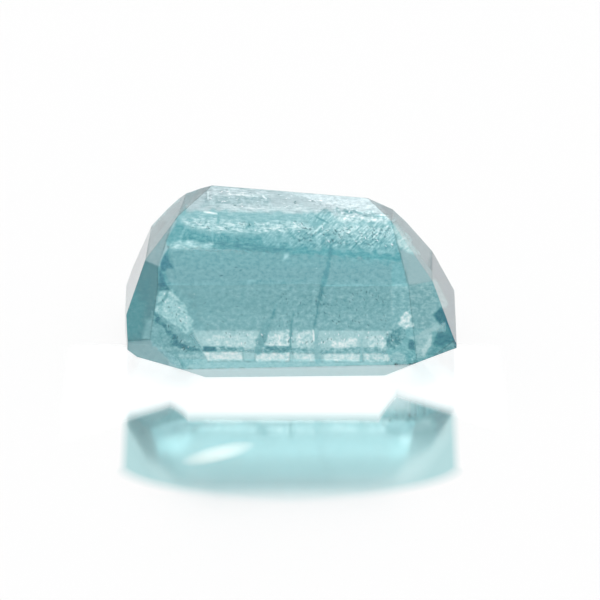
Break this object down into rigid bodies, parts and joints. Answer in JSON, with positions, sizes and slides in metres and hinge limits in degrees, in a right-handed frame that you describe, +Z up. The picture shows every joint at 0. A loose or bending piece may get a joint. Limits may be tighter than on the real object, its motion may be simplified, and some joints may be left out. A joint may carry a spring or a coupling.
{
  "type": "faceted gemstone",
  "caption": "Loose transparent blue-green gemstone, an oblong step cut with cut corners, resting face down on its flat table with the keel of the pavilion uppermost.",
  "frame": {"origin": "centre of the stone's bounding box on the ground, in the plane of the table it rests on", "axes": "+X along the length towards the right-hand end, +Y across the stone away from the near long side, +Z up from the table to the keel"},
  "size_m": [0.009, 0.0072, 0.0045],
  "materials": {
    "grandidierite": "polished"
  },
  "bodies": {
    "root": {"gemstone": "grandidierite"}
  },
  "joints": []
}
